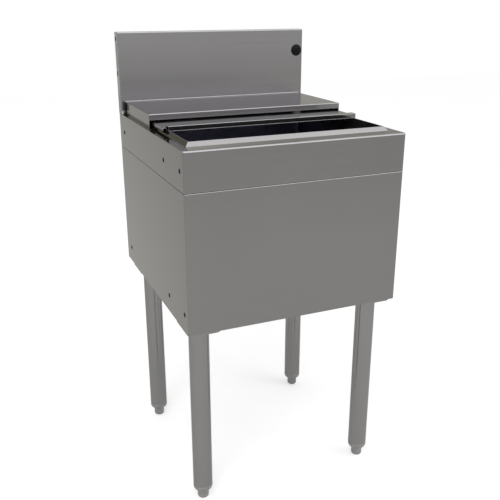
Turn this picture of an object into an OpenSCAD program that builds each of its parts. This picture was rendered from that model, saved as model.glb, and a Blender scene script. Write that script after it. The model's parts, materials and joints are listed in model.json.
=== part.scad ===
/* [Cabinet] */
// Width of the cabinet, side to side
cabinet_w = 457; // [380:1:760]
// Depth of the cabinet, front to wall
cabinet_d = 478; // [440:1:620]
// Height of the work surface above the floor
deck_z = 767.5; // [700:0.5:900]
// Height of the foam and drain space under the bin's floor
base_room = 60.5; // [55:0.5:100]
// Height of the apron that hangs from the work surface
apron_h = 76; // [60:1:110]
// Thickness of the folded sheet
sheet_t = 1.2; // [0.9:0.1:1.6]
// Outer radius of the upright corners
corner_r = 2.5; // [2.2:0.1:4]
// Outer radius of the bend along the front of the work surface
nose_r = 3; // [2.2:0.1:5]
// Outer radius of the bends on each side of the seam
seam_r = 1.6; // [1.4:0.1:2.2]
// Width of the flanges that the panels turn inward
flange_w = 12; // [10:1:18]
// How far the back panel wraps round the sides
back_wrap = 21; // [18:1:30]

/* [Backsplash] */
// Height of the backsplash above the work surface
splash_h = 179; // [120:1:300]
// Thickness of the backsplash, front to back
splash_t = 25; // [22:1:50]
// Radius of the cove between work surface and backsplash
cove_r = 10; // [6:0.5:14]
// Diameter of the holes that bolt it to its neighbour
joining_hole_d = 11; // [6:0.5:12]
// Distance between the two joining holes
joining_pitch = 75; // [50:1:90]
// Diameter of the cap of the hose hole plug
plug_cap_d = 27; // [24:0.5:30]

/* [Ice bin] */
// Side of the cabinet to the bin's mouth
mouth_side = 25.5; // [24:0.5:40]
// Front of the cabinet to the bin's mouth
mouth_front = 44; // [36:1:70]
// Backsplash to the bin's mouth
mouth_back = 38.5; // [30:0.5:60]
// Depth of the bin below the work surface, at its drain
bin_depth = 292; // [220:1:305]
// Radius of the bin's coved corners
bin_r = 14; // [8:1:24]
// Fall of the bin's floor towards the drain
floor_fall = 5; // [3:0.5:8]
// Height of the raised rim round the mouth
rim_h = 8; // [6:0.5:10]
// Width of the rim's sloping face
rim_run = 6.5; // [5:0.5:8]
// Width of the flat along the rim's top
rim_flat = 1.6; // [1.4:0.1:2.5]
// Depth below the work surface of the rim's inner skirt
rim_skirt = 25; // [18:1:36]

/* [Covers] */
// Length of the rear cover, front to back
rear_cover_l = 205; // [185:1:215]
// Length of the front cover, with its nose
front_cover_l = 235; // [225:1:245]
// How far the front cover is pushed back from closed
front_cover_open = 120; // [0:1:135]
// Height of the rolled nose of the front cover
nose_h = 9.7; // [8:0.1:11]
// Length of the rolled nose, front to back
nose_l = 20; // [14:0.5:26]
// Height of the rear cover's upturned back edge
back_lip_h = 3; // [2:0.5:5]

/* [Legs] */
// Outer diameter of a leg tube
leg_d = 41.3; // [36:0.1:45]
// Wall of a leg tube
leg_wall = 1.5; // [1:0.1:2.5]
// Side of the cabinet to a leg's axis
leg_side = 36.5; // [36:0.5:60]
// Front of the cabinet to a front leg's axis
leg_front = 51.5; // [46:0.5:80]
// Back of the cabinet to a rear leg's axis
leg_back = 80.5; // [50:0.5:110]
// Width of a leg's mounting plate
plate_w = 68; // [64:1:71]
// Length of a leg's mounting plate, front to back
plate_l = 88; // [80:1:90]
// Thickness of a leg's mounting plate
plate_t = 6.5; // [4:0.5:8]
// Height of a foot below its leg tube
foot_h = 34; // [30:1:45]
// Diameter of a foot's lower part
foot_d = 24.4; // [20:0.2:28]
// Diameter of a foot's threaded stem
stem_d = 16; // [12:0.5:18]

/* [Drain] */
// Diameter of the drain's flange in the bin floor
drain_flange_d = 76; // [70:1:90]
// Outer diameter of the tailpiece
tail_d = 38.1; // [36:0.1:42]
// Length of tailpiece below the cabinet
tail_l = 40; // [25:1:60]
// Diameter of a hole in the strainer
strainer_hole_d = 4; // [3:0.5:5]

/* [Hidden] */
$fn = 64;

// Overrun of every cut past the face that it opens
cut = 2;
// Step to which a worked-out gap is rounded up
round_step = 0.5;
// Gap under a piece that slides
slide_gap = 0.3;
// Radial clearance of a screwed or telescoping fit
fit_gap = 0.05;
// Radial clearance of a bolt in its hole
bolt_gap = 0.3;

// Places, from the middle of the floor plan
side_x = cabinet_w / 2;
front_y = -cabinet_d / 2;
back_y = cabinet_d / 2;
splash_y = back_y - splash_t;
splash_z = deck_z + splash_h;
seam_z = deck_z - apron_h;
base_z = deck_z - bin_depth - base_room;
apron_back_y = back_y - back_wrap;

// The bin's mouth and the rim round it
mouth_x = side_x - mouth_side;
mouth_y0 = front_y + mouth_front;
mouth_y1 = splash_y - mouth_back;
mouth_l = mouth_y1 - mouth_y0;
mouth_y = (mouth_y0 + mouth_y1) / 2;
rim_grow = rim_flat + rim_run;
rim_step_x = sheet_t * rim_run / rim_h;
rim_wall_x = sheet_t * sqrt(rim_h * rim_h + rim_run * rim_run) / rim_h;

// The liner stands outside the rim's skirt, so that its round corners clear the skirt's square ones
skirt_gap = round_step * ceil((bin_r * (1 - sqrt(1 / 2)) + slide_gap) / round_step);
liner_x = mouth_x + sheet_t + skirt_gap;
liner_l = mouth_l + 2 * (sheet_t + skirt_gap);
liner_top_z = deck_z - sheet_t;
floor_z = deck_z - bin_depth;
floor_edge_z = floor_z + floor_fall;
liner_lip = 6;
dish_margin = 4;

// Side lip of the work surface, over the side aprons
deck_lip = 3;

// The plugs in the sides, in rows of three
plug_d = 9.5;
plug_dome = 1.2;
plug_shank_d = 8;
plug_shank_l = 4;
plug_barb = 0.4;
plug_top_drop = 38.5;
plug_base_rise = 36;
plug_front = 21.5;
plug_mid = 122;
plug_back = 42;

// Backsplash details
joining_top_drop = 15;
joining_back = 7.6;
slot_w = 2.4;
slot_back = 13.5;
slot_tops = [23.5, 58.5];
slot_lengths = [32, 20];
hose_side = 16.5;
hose_drop = 49;
plug_cap_h = 3.4;
plug_cap_edge = 1.2;
hose_hole_d = 20;
hose_shank_l = 6;

// Side gaps between rim, front cover and rear cover
front_cover_side = mouth_side - rim_grow - 2 * sheet_t;
cover_nest_gap = 4.8;
rear_cover_side = front_cover_side - sheet_t - cover_nest_gap;
nose_lap = 1.8;
nose_side = mouth_side - rim_flat - nose_lap;
nose_notch = 1.2;
nose_overhang = 3;
nose_step = 5.5;
front_flange_h = 7;
front_flange_r = 4;
stack_gap = 8.8;
lip_gap = 3.5;
hem_w = 5;
cover_bend_r = 1.6;
rear_flange_back = 18;

// Heights of the covers
nose_z0 = deck_z + rim_h + slide_gap;
nose_z1 = nose_z0 + nose_h;
front_plate_z = nose_z1 - nose_step;
rear_plate_z = nose_z1 + stack_gap + sheet_t;
rear_lip_z = front_plate_z + lip_gap;

// Places of the covers, front to back
rim_front_y = mouth_y0 - rim_grow;
nose_y = rim_front_y - nose_overhang + front_cover_open;
front_cover_y1 = nose_y + front_cover_l;
rear_cover_y1 = splash_y - slide_gap;
rear_cover_y0 = rear_cover_y1 - rear_cover_l;
front_flange_y = nose_y + nose_l - 3 * sheet_t;

// Legs
leg_r = leg_d / 2;
tube_bore_r = leg_r - leg_wall;
plate_z = base_z - plate_t;
spigot_l = 40;
spigot_r = tube_bore_r - 2 * fit_gap;
spigot_wall = 5;
plate_r = 12;
plate_bolt_d = 6;
plate_bolt_head_d = 12;
plate_bolt_head_h = 3;
plate_bolt_socket_w = 4;
plate_bolt_socket_l = 2;
plate_bolt_l = 12;
plate_bolt_edge = 9;
plate_bolt_x = plate_w / 2 - plate_bolt_edge;
plate_bolt_y = plate_l / 2 - plate_bolt_edge;
rivet_nut_r = 4.5;
rivet_nut_l = 10;
rivet_nut_head_r = 5.5;
rivet_nut_head_h = 1;
pocket_r = 6;
set_screw_d = 6;
set_screw_l = 7;
set_screw_drop = 22;
set_screw_socket_w = 3;
set_screw_socket_l = 3;

// Feet
tube_foot_gap = slide_gap;
foot_tip_r = 5.4;
shoulder_r = leg_r - foot_d / 2;
shoulder_band = 4;
stem_l = 42;
insert_l = 30;
insert_gap = 0.6;
insert_wall = 4;
insert_core_r = stem_d / 2 + insert_wall;
insert_lands = 3;

// Drain
drain_flange_t = 1.6;
drain_cup_r = 27;
drain_wall = 2.4;
drain_cup_h = 24;
drain_ledge = 2;
drain_ledge_drop = 3;
tail_wall = 2.6;
spigot_drain_r = tail_d / 2 - tail_wall;
spigot_drain_wall = 3;
spigot_drain_l = 22;
strainer_t = 1.2;
strainer_ring_shares = [0.36, 0.62, 0.86];
strainer_ring_counts = [6, 12, 18];
bar_w = 8;
bar_t = 3;
strainer_screw_d = 4;
strainer_screw_head_d = 8;
strainer_screw_head_h = 2.2;
strainer_slot_w = 1;
gasket_t = 3;
gasket_w = 8;
nut_h = 7;
nut_w = 74;
nut_lugs = 8;
nut_lug_w = 9;
nut_lug_h = 3;
nut_room = 4;
drain_hole_gap = 0.4;
tail_collar_grow = 1.4;
well_r = nut_w / 2 + nut_room;

// Outlines

// Square with its own radius at each corner, from the lower left anticlockwise
module corner_square(w, h, radii) {
    difference() {
        square([w, h]);
        corner_waste(radii[0]);
        translate([w, 0]) rotate(90) corner_waste(radii[1]);
        translate([w, h]) rotate(180) corner_waste(radii[2]);
        translate([0, h]) rotate(270) corner_waste(radii[3]);
    }
}

module corner_waste(r) {
    if (r > 0) {
        difference() {
            translate([-cut, -cut]) square(r + cut);
            translate([r, r]) circle(r);
        }
    }
}

// Outline in Y and Z, drawn out along X between -x and x
module across(x) {
    rotate([90, 0, 90]) translate([0, 0, -x]) linear_extrude(2 * x) children();
}

// Outline in X and Z, drawn out along Y from y0 to y1
module along(y0, y1) {
    translate([0, y1, 0]) rotate([90, 0, 0]) linear_extrude(y1 - y0) children();
}

// Plain block between two corners
module block(low, high) {
    translate(low) cube(high - low);
}

// Block centred on X, between two heights and two places along Y
module slab(x, y0, y1, z0, z1) {
    block([-x, y0, z0], [x, y1, z1]);
}

// Shape of the cabinet between two heights, with rounded front or back corners
module shell_block(y0, y1, z0, z1, front_r, back_r, top_r, bottom_r, edge_front_r) {
    intersection() {
        translate([-side_x, y0, z0])
            linear_extrude(z1 - z0)
                corner_square(cabinet_w, y1 - y0, [front_r, front_r, back_r, back_r]);
        across(side_x + cut)
            translate([y0, z0])
                corner_square(y1 - y0, z1 - z0, [bottom_r, 0, 0, edge_front_r]);
        along(y0 - cut, y1 + cut)
            translate([-side_x, z0])
                corner_square(cabinet_w, z1 - z0, [bottom_r, bottom_r, top_r, top_r]);
    }
}

// Runs its children at the left, or mirrored at the right
module at_side(sign) {
    if (sign > 0) mirror([1, 0, 0]) children();
    else children();
}

// Work surface with the raised rim, front apron and cove

// Frustum whose mitred faces slope up to the rim's flat
module rim_frustum(base_grow, flat_grow, z0, z1) {
    x_base = mouth_x + base_grow;
    x_flat = mouth_x + flat_grow;
    intersection() {
        along(mouth_y0 - base_grow, mouth_y1 + base_grow)
            polygon([[-x_base, z0], [x_base, z0], [x_flat, z1], [-x_flat, z1]]);
        across(x_base)
            polygon([
                [mouth_y0 - base_grow, z0],
                [mouth_y1 + base_grow, z0],
                [mouth_y1 + flat_grow, z1],
                [mouth_y0 - flat_grow, z1]
            ]);
    }
}

module deck_cove() {
    difference() {
        across(side_x)
            difference() {
                intersection() {
                    translate([splash_y - cove_r, deck_z - sheet_t]) square(cove_r + sheet_t);
                    translate([splash_y - cove_r, deck_z + cove_r]) circle(cove_r + sheet_t);
                }
                translate([splash_y - cove_r, deck_z + cove_r]) circle(cove_r);
            }
        for (sign = [-1, 1])
            at_side(sign)
                block([-side_x - cut, splash_y, deck_z], [sheet_t - side_x, back_y, splash_z]);
    }
}

// Side lips of the work surface, carried on under the backsplash
module deck_rear_lips() {
    for (sign = [-1, 1])
        at_side(sign)
            block(
                [-side_x, splash_y - cove_r, deck_z - deck_lip], [sheet_t - side_x, apron_back_y, deck_z]
            );
}

module deck_shell() {
    difference() {
        shell_block(front_y, splash_y - cove_r, seam_z, deck_z, corner_r, 0, 0, seam_r, nose_r);
        slab(side_x - sheet_t, front_y + sheet_t, back_y, seam_z + sheet_t, deck_z - sheet_t);
        slab(side_x - flange_w, front_y + flange_w, back_y, seam_z - cut, seam_z + sheet_t + cut);
        slab(side_x + cut, front_y + flange_w, back_y, seam_z - cut, deck_z - deck_lip);
    }
}

module deck_top() {
    color("silver") {
        difference() {
            union() {
                deck_shell();
                rim_frustum(rim_grow, rim_flat, deck_z, deck_z + rim_h);
            }
            rim_frustum(
                rim_grow + 2 * rim_step_x - rim_wall_x, rim_flat + rim_step_x - rim_wall_x,
                deck_z - 2 * sheet_t, deck_z + rim_h - sheet_t
            );
            slab(mouth_x, mouth_y0, mouth_y1, seam_z, deck_z + rim_h + cut);
        }
        difference() {
            slab(
                mouth_x + sheet_t, mouth_y0 - sheet_t, mouth_y1 + sheet_t,
                deck_z - rim_skirt, deck_z + rim_h - sheet_t
            );
            slab(mouth_x, mouth_y0, mouth_y1, deck_z - rim_skirt - cut, deck_z + rim_h);
        }
        deck_cove();
        deck_rear_lips();
    }
}

// Side aprons

module plug_hole(y, z) {
    translate([-side_x - cut, y, z]) rotate([0, 90, 0]) cylinder(d = plug_shank_d, h = 2 * cut + sheet_t);
}

module side_apron(sign) {
    y0 = front_y + flange_w;
    at_side(sign)
        color("silver")
            difference() {
                intersection() {
                    block([-side_x, y0, seam_z], [flange_w - side_x, apron_back_y, deck_z - deck_lip]);
                    along(y0 - cut, back_y)
                        translate([-side_x, seam_z]) corner_square(cabinet_w, apron_h, [seam_r, 0, 0, 0]);
                }
                block(
                    [sheet_t - side_x, y0 - cut, seam_z + sheet_t],
                    [flange_w + cut - side_x, back_y, deck_z]
                );
                for (y = plug_places()) plug_hole(y, deck_z - plug_top_drop);
            }
}

module side_apron_left() { side_apron(-1); }
module side_apron_right() { side_apron(1); }

// Backsplash: face, top and side returns, open at the back

module backsplash() {
    face_z = deck_z + cove_r;
    color("silver")
        difference() {
            intersection() {
                translate([-side_x, splash_y, deck_z])
                    linear_extrude(splash_h)
                        corner_square(cabinet_w, splash_t, [corner_r, corner_r, 0, 0]);
                across(side_x + cut)
                    translate([splash_y, deck_z])
                        corner_square(splash_t, splash_h, [0, 0, 0, corner_r]);
            }
            slab(side_x - sheet_t, splash_y + sheet_t, back_y + cut, deck_z - cut, splash_z - sheet_t);
            slab(side_x - sheet_t, splash_y - cut, splash_y + splash_t, deck_z - cut, face_z);
            for (k = [0, 1]) {
                translate([0, back_y - joining_back, splash_z - joining_top_drop - k * joining_pitch])
                    rotate([0, 90, 0])
                        cylinder(d = joining_hole_d, h = cabinet_w + 2 * cut, center = true);
                slab(
                    side_x + cut, back_y - slot_back - slot_w / 2, back_y - slot_back + slot_w / 2,
                    splash_z - slot_tops[k] - slot_lengths[k], splash_z - slot_tops[k]
                );
            }
            translate([side_x - hose_side, splash_y - cut, splash_z - hose_drop])
                rotate([-90, 0, 0]) cylinder(d = hose_hole_d, h = 2 * cut + sheet_t);
        }
}

module backsplash_back() {
    color("lightgray")
        slab(side_x - sheet_t, back_y - sheet_t, back_y, deck_z, splash_z - sheet_t);
}

// Snap-in plug of the hose hole, with a domed cap and a hollow shank
module hose_plug() {
    cap_r = plug_cap_d / 2;
    rise = plug_cap_h - plug_cap_edge;
    dome_r = (cap_r * cap_r + rise * rise) / (2 * rise);
    color("black")
        translate([side_x - hose_side, splash_y, splash_z - hose_drop])
            rotate([90, 0, 0]) {
                cylinder(r = cap_r, h = plug_cap_edge);
                intersection() {
                    translate([0, 0, plug_cap_edge + rise - dome_r]) sphere(dome_r, $fn = 128);
                    cylinder(r = cap_r, h = plug_cap_h);
                }
                translate([0, 0, -hose_shank_l])
                    difference() {
                        cylinder(r = hose_hole_d / 2 - fit_gap, h = hose_shank_l);
                        translate([0, 0, -cut])
                            cylinder(r = hose_hole_d / 2 - 2 * sheet_t, h = hose_shank_l + cut);
                    }
            }
}

// Ice bin: a coved tub with a dished floor and a lip under the work surface

// Tub's space grown by a wall; its floor edges and corners are coved
module tub(grow, top_z) {
    x = liner_x + grow;
    y0 = mouth_y - liner_l / 2 - grow;
    y1 = mouth_y + liner_l / 2 + grow;
    r = bin_r + grow;
    z0 = floor_edge_z - grow;
    ys = [y0 + r, y1 - r];
    translate([-x, y0, z0 + r])
        linear_extrude(top_z - z0 - r)
            corner_square(2 * x, y1 - y0, [r, r, r, r]);
    slab(x - r, y0 + r, y1 - r, z0, z0 + 2 * r);
    for (y = ys)
        translate([0, y, z0 + r]) rotate([0, 90, 0]) cylinder(r = r, h = 2 * (x - r), center = true);
    for (sx = [-1, 1])
        translate([sx * (x - r), (y0 + y1) / 2, z0 + r])
            rotate([90, 0, 0]) cylinder(r = r, h = ys[1] - ys[0], center = true);
    for (sx = [-1, 1], y = ys)
        translate([sx * (x - r), y, z0 + r]) sphere(r);
}

// The dish in the floor, down to the drain's seat
module floor_dish(grow, rise) {
    dish_r = min(liner_x, liner_l / 2) - bin_r - dish_margin;
    seat_r = drain_flange_d / 2 + sheet_t;
    translate([0, mouth_y, floor_z - grow])
        cylinder(r1 = seat_r, r2 = dish_r, h = floor_fall);
    translate([0, mouth_y, floor_edge_z - grow])
        cylinder(r = dish_r, h = rise);
}

module bin_liner() {
    lip = sheet_t + liner_lip;
    color("gainsboro")
        difference() {
            union() {
                tub(sheet_t, liner_top_z);
                floor_dish(sheet_t, sheet_t);
                slab(
                    liner_x + lip, mouth_y - liner_l / 2 - lip, mouth_y + liner_l / 2 + lip,
                    liner_top_z - sheet_t, liner_top_z
                );
            }
            tub(0, deck_z);
            floor_dish(0, sheet_t);
            translate([0, mouth_y, floor_z - sheet_t - cut])
                cylinder(r = drain_cup_r + drain_hole_gap, h = sheet_t + 2 * cut);
        }
}

// Foam between the bin and the panels
module insulation() {
    turn_z = base_z + flange_w + sheet_t;
    top_z = seam_z - sheet_t;
    x = side_x - sheet_t;
    color("khaki")
        difference() {
            union() {
                slab(x, front_y + sheet_t, back_y - sheet_t, turn_z, top_z);
                slab(
                    x - sheet_t, front_y + 2 * sheet_t, back_y - 2 * sheet_t,
                    base_z + sheet_t, turn_z + cut
                );
            }
            tub(sheet_t + slide_gap, deck_z);
            floor_dish(sheet_t + slide_gap, sheet_t);
            translate([0, mouth_y, base_z - cut]) cylinder(r = well_r, h = floor_edge_z - base_z);
            for (p = leg_places(), q = bolt_places())
                translate([p[0] + q[0], p[1] + q[1], base_z])
                    cylinder(r = pocket_r, h = plate_bolt_l + cut);
            for (sx = [-1, 1], y = plug_places())
                translate([sx * side_x, y, base_z + plug_base_rise])
                    rotate([0, 90, 0]) cylinder(d = plug_shank_d + 2 * cut, h = 4 * plug_shank_l, center = true);
        }
}

// Outer panels of the lower body

module front_panel() {
    color("silver")
        difference() {
            shell_block(
                front_y, front_y + flange_w, base_z, seam_z, corner_r, 0, seam_r, 0, seam_r
            );
            slab(
                side_x - sheet_t, front_y + sheet_t, back_y, base_z - cut, seam_z - sheet_t
            );
        }
}

module side_panel(sign) {
    y0 = front_y + flange_w;
    at_side(sign)
        color("silver")
            difference() {
                intersection() {
                    block([-side_x, y0, base_z], [flange_w - side_x, apron_back_y, seam_z]);
                    along(y0 - cut, back_y)
                        translate([-side_x, base_z])
                            corner_square(cabinet_w, seam_z - base_z, [0, 0, 0, seam_r]);
                }
                block(
                    [sheet_t - side_x, y0 - cut, base_z - cut],
                    [flange_w + cut - side_x, back_y, seam_z - sheet_t]
                );
                for (y = plug_places()) plug_hole(y, base_z + plug_base_rise);
            }
}

module side_panel_left() { side_panel(-1); }
module side_panel_right() { side_panel(1); }

module back_panel() {
    color("silver")
        difference() {
            translate([-side_x, apron_back_y, base_z])
                linear_extrude(deck_z - base_z)
                    corner_square(cabinet_w, back_wrap, [0, 0, corner_r, corner_r]);
            slab(side_x - sheet_t, apron_back_y - cut, back_y - sheet_t, base_z - cut, deck_z + cut);
        }
}

module bottom_panel() {
    x = side_x - sheet_t;
    color("lightgray")
        difference() {
            slab(x, front_y + sheet_t, back_y - sheet_t, base_z, base_z + flange_w + sheet_t);
            slab(
                x - sheet_t, front_y + 2 * sheet_t, back_y - 2 * sheet_t,
                base_z + sheet_t, base_z + flange_w + sheet_t + cut
            );
            translate([0, mouth_y, base_z - cut])
                cylinder(r = tail_d / 2 + tail_collar_grow + 2 * drain_hole_gap, h = sheet_t + 2 * cut);
            for (p = leg_places(), q = bolt_places())
                translate([p[0] + q[0], p[1] + q[1], base_z - cut])
                    cylinder(r = plate_bolt_d / 2 + bolt_gap, h = sheet_t + 2 * cut);
        }
}

// Plugs in the sides, three at the apron and three at the base
function plug_places() = [front_y + plug_front, front_y + plug_mid, back_y - plug_back];

module side_plug() {
    r = plug_d / 2;
    dome_r = (r * r + plug_dome * plug_dome) / (2 * plug_dome);
    intersection() {
        translate([0, 0, plug_dome - dome_r]) sphere(dome_r);
        cylinder(r = r, h = plug_dome);
    }
    translate([0, 0, -plug_shank_l]) cylinder(d = plug_shank_d - 2 * fit_gap, h = plug_shank_l);
    translate([0, 0, -plug_shank_l])
        cylinder(r1 = plug_shank_d / 2 - plug_barb, r2 = plug_shank_d / 2 + plug_barb,
            h = plug_shank_l - sheet_t - fit_gap);
}

module side_plugs(sign) {
    at_side(sign)
        color("black")
            for (y = plug_places(), z = [deck_z - plug_top_drop, base_z + plug_base_rise])
                translate([-side_x, y, z]) rotate([0, -90, 0]) side_plug();
}

module side_plugs_left() { side_plugs(-1); }
module side_plugs_right() { side_plugs(1); }

// Rear cover: straddles the front cover and stands on the work surface

module rear_cover() {
    x = side_x - rear_cover_side;
    z0 = deck_z + slide_gap;
    color("silver") {
        difference() {
            intersection() {
                slab(x, rear_cover_y0, rear_cover_y1, z0, rear_plate_z);
                along(rear_cover_y0 - cut, back_y)
                    translate([-x, z0])
                        corner_square(2 * x, rear_plate_z - z0, [0, 0, cover_bend_r, cover_bend_r]);
                across(x + cut)
                    translate([rear_cover_y0, z0])
                        corner_square(rear_cover_l, rear_plate_z - z0, [0, 0, 0, cover_bend_r]);
            }
            slab(
                x - sheet_t, rear_cover_y0 + sheet_t, back_y, z0 - cut, rear_plate_z - sheet_t
            );
            slab(x - sheet_t, rear_cover_y0 - cut, back_y, z0 - cut, rear_lip_z);
            slab(
                x + cut, rear_cover_y1 - rear_flange_back, back_y, z0 - cut, rear_plate_z - sheet_t
            );
        }
        slab(
            x - sheet_t, rear_cover_y0, rear_cover_y0 + hem_w, rear_lip_z, rear_lip_z + sheet_t
        );
        slab(
            x - cover_bend_r, rear_cover_y1 - sheet_t, rear_cover_y1,
            rear_plate_z - sheet_t, rear_plate_z + back_lip_h
        );
    }
}

// Front cover: rides on the rim with its nose and back flange, and slides under the rear cover

module rolled_nose() {
    r = nose_h / 2;
    across(side_x - nose_side)
        difference() {
            translate([nose_y, nose_z0]) corner_square(nose_l, nose_h, [r, r, r, r]);
            translate([nose_y + sheet_t, nose_z0 + sheet_t])
                corner_square(
                    nose_l - 2 * sheet_t, nose_h - 2 * sheet_t,
                    [r - sheet_t, r - sheet_t, r - sheet_t, r - sheet_t]
                );
        }
}

module front_cover() {
    x = side_x - front_cover_side;
    z0 = front_plate_z - front_flange_h;
    nose_x = side_x - nose_side;
    color("silver") {
        rolled_nose();
        difference() {
            intersection() {
                slab(x, front_flange_y, front_cover_y1, z0, front_plate_z);
                along(front_flange_y - cut, front_cover_y1 + cut)
                    translate([-x, z0])
                        corner_square(2 * x, front_flange_h, [0, 0, cover_bend_r, cover_bend_r]);
                across(x + cut)
                    translate([front_flange_y, z0])
                        corner_square(front_cover_l, front_flange_h, [front_flange_r, 0, 0, 0]);
            }
            slab(
                x - sheet_t, front_flange_y - cut, front_cover_y1 + cut,
                z0 - cut, front_plate_z - sheet_t
            );
            slab(
                nose_x + nose_notch, nose_y, nose_y + nose_l - sheet_t / 2,
                nose_z0 - cut, front_plate_z + cut
            );
        }
        slab(
            nose_x, front_cover_y1 - sheet_t, front_cover_y1, nose_z0, front_plate_z - sheet_t / 2
        );
    }
}

// Drain in the bin floor

module drain_body() {
    top_z = floor_z + drain_flange_t;
    cup_z = top_z - drain_cup_h;
    color("gainsboro")
        translate([0, mouth_y, 0]) {
            difference() {
                union() {
                    translate([0, 0, floor_z]) cylinder(d = drain_flange_d, h = drain_flange_t);
                    translate([0, 0, cup_z]) cylinder(r = drain_cup_r, h = drain_cup_h);
                    translate([0, 0, cup_z - spigot_drain_l])
                        cylinder(r = spigot_drain_r, h = spigot_drain_l + drain_wall);
                }
                translate([0, 0, top_z - drain_ledge_drop])
                    cylinder(r = drain_cup_r - drain_wall + drain_ledge / 2, h = drain_cup_h);
                translate([0, 0, cup_z + drain_wall])
                    cylinder(r = drain_cup_r - drain_wall - drain_ledge / 2, h = drain_cup_h);
                translate([0, 0, cup_z - spigot_drain_l - cut])
                    cylinder(r = spigot_drain_r - spigot_drain_wall, h = drain_cup_h + spigot_drain_l);
            }
            difference() {
                translate([0, 0, top_z - drain_ledge_drop - bar_t])
                    intersection() {
                        translate([-drain_cup_r, -bar_w / 2, 0]) cube([2 * drain_cup_r, bar_w, bar_t]);
                        cylinder(r = drain_cup_r - drain_wall, h = bar_t);
                    }
                translate([0, 0, cup_z])
                    cylinder(d = strainer_screw_d + 2 * fit_gap, h = drain_cup_h);
            }
        }
}

module drain_strainer() {
    r = drain_cup_r - drain_wall + drain_ledge / 2 - bolt_gap;
    color("silver")
        translate([0, mouth_y, floor_z + drain_flange_t - drain_ledge_drop])
            difference() {
                cylinder(r = r, h = strainer_t);
                for (n = [0 : len(strainer_ring_shares) - 1], k = [1 : strainer_ring_counts[n]])
                    rotate(k * 360 / strainer_ring_counts[n])
                        translate([strainer_ring_shares[n] * r, 0, -cut])
                            cylinder(d = strainer_hole_d, h = strainer_t + 2 * cut);
                translate([0, 0, -cut])
                    cylinder(d = strainer_screw_d + 2 * bolt_gap, h = strainer_t + 2 * cut);
            }
}

module strainer_screw() {
    seat_z = floor_z + drain_flange_t - drain_ledge_drop + strainer_t;
    shank_l = strainer_t + bar_t + strainer_screw_d;
    color("silver")
        translate([0, mouth_y, seat_z])
            difference() {
                union() {
                    cylinder(d = strainer_screw_head_d, h = strainer_screw_head_h);
                    translate([0, 0, -shank_l]) cylinder(d = strainer_screw_d, h = shank_l);
                }
                translate([-strainer_screw_head_d, -strainer_slot_w / 2, strainer_screw_head_h / 2])
                    cube([2 * strainer_screw_head_d, strainer_slot_w, strainer_screw_head_h]);
            }
}

module drain_gasket() {
    r = drain_cup_r + drain_hole_gap;
    color("dimgray")
        translate([0, mouth_y, floor_z - sheet_t - gasket_t])
            difference() {
                cylinder(r = r + gasket_w, h = gasket_t);
                translate([0, 0, -cut]) cylinder(r = r, h = gasket_t + 2 * cut);
            }
}

module drain_locknut() {
    color("gainsboro")
        translate([0, mouth_y, floor_z - sheet_t - gasket_t - nut_h])
            difference() {
                cylinder(d = nut_w, h = nut_h);
                translate([0, 0, -cut]) cylinder(r = drain_cup_r + fit_gap, h = nut_h + 2 * cut);
                for (k = [1 : nut_lugs])
                    rotate(k * 360 / nut_lugs)
                        translate([nut_w / 2 - nut_lug_h, -nut_lug_w / 2, -cut])
                            cube([nut_lug_h + cut, nut_lug_w, nut_h + 2 * cut]);
            }
}

module drain_tailpiece() {
    top_z = floor_z + drain_flange_t - drain_cup_h - fit_gap;
    r = tail_d / 2;
    color("gainsboro")
        translate([0, mouth_y, 0])
            difference() {
                union() {
                    translate([0, 0, base_z]) cylinder(r = r + tail_collar_grow, h = top_z - base_z);
                    translate([0, 0, base_z - tail_l]) cylinder(r = r, h = tail_l);
                }
                translate([0, 0, top_z - spigot_drain_l - cut])
                    cylinder(r = spigot_drain_r + fit_gap, h = spigot_drain_l + 2 * cut);
                translate([0, 0, base_z - tail_l - cut])
                    cylinder(r = spigot_drain_r - spigot_drain_wall, h = top_z - base_z + tail_l);
            }
}

// Legs: plate with a spigot, tube, threaded insert and bullet foot

function leg_places() = [
    [leg_side - side_x, front_y + leg_front],
    [side_x - leg_side, front_y + leg_front],
    [leg_side - side_x, back_y - leg_back],
    [side_x - leg_side, back_y - leg_back]
];

function bolt_places() = [for (sx = [-1, 1], sy = [-1, 1]) [sx * plate_bolt_x, sy * plate_bolt_y]];

// Turns its child to face the middle of the cabinet
module at_leg(k) {
    p = leg_places()[k];
    translate([p[0], p[1], 0]) rotate(p[0] < 0 ? 0 : 180) children();
}

module leg_plate(k) {
    color("darkgray")
        at_leg(k) {
            difference() {
                translate([-plate_w / 2, -plate_l / 2, plate_z])
                    linear_extrude(plate_t)
                        corner_square(plate_w, plate_l, [plate_r, plate_r, plate_r, plate_r]);
                for (q = bolt_places())
                    translate([q[0], q[1], plate_z]) {
                        translate([0, 0, -cut])
                            cylinder(r = plate_bolt_d / 2 + bolt_gap, h = plate_t + 2 * cut);
                        plate_bolt_head(fit_gap);
                    }
            }
            difference() {
                translate([0, 0, plate_z - spigot_l]) cylinder(r = spigot_r, h = spigot_l + cut);
                translate([0, 0, plate_z - spigot_l - cut])
                    cylinder(r = spigot_r - spigot_wall, h = spigot_l);
                translate([0, 0, plate_z - set_screw_drop])
                    rotate([0, 90, 0]) cylinder(r = set_screw_d / 2 + fit_gap, h = leg_d);
            }
        }
}

module leg_plate_front_left() { leg_plate(0); }
module leg_plate_front_right() { leg_plate(1); }
module leg_plate_rear_left() { leg_plate(2); }
module leg_plate_rear_right() { leg_plate(3); }

module leg_tube(k) {
    tube_z = foot_h + tube_foot_gap;
    color("lightgray")
        at_leg(k)
            difference() {
                translate([0, 0, tube_z]) cylinder(d = leg_d, h = plate_z - tube_z);
                translate([0, 0, tube_z - cut]) cylinder(r = tube_bore_r, h = plate_z - tube_z + 2 * cut);
                translate([0, 0, plate_z - set_screw_drop])
                    rotate([0, 90, 0]) cylinder(r = set_screw_d / 2 + bolt_gap, h = leg_d);
            }
}

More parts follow.
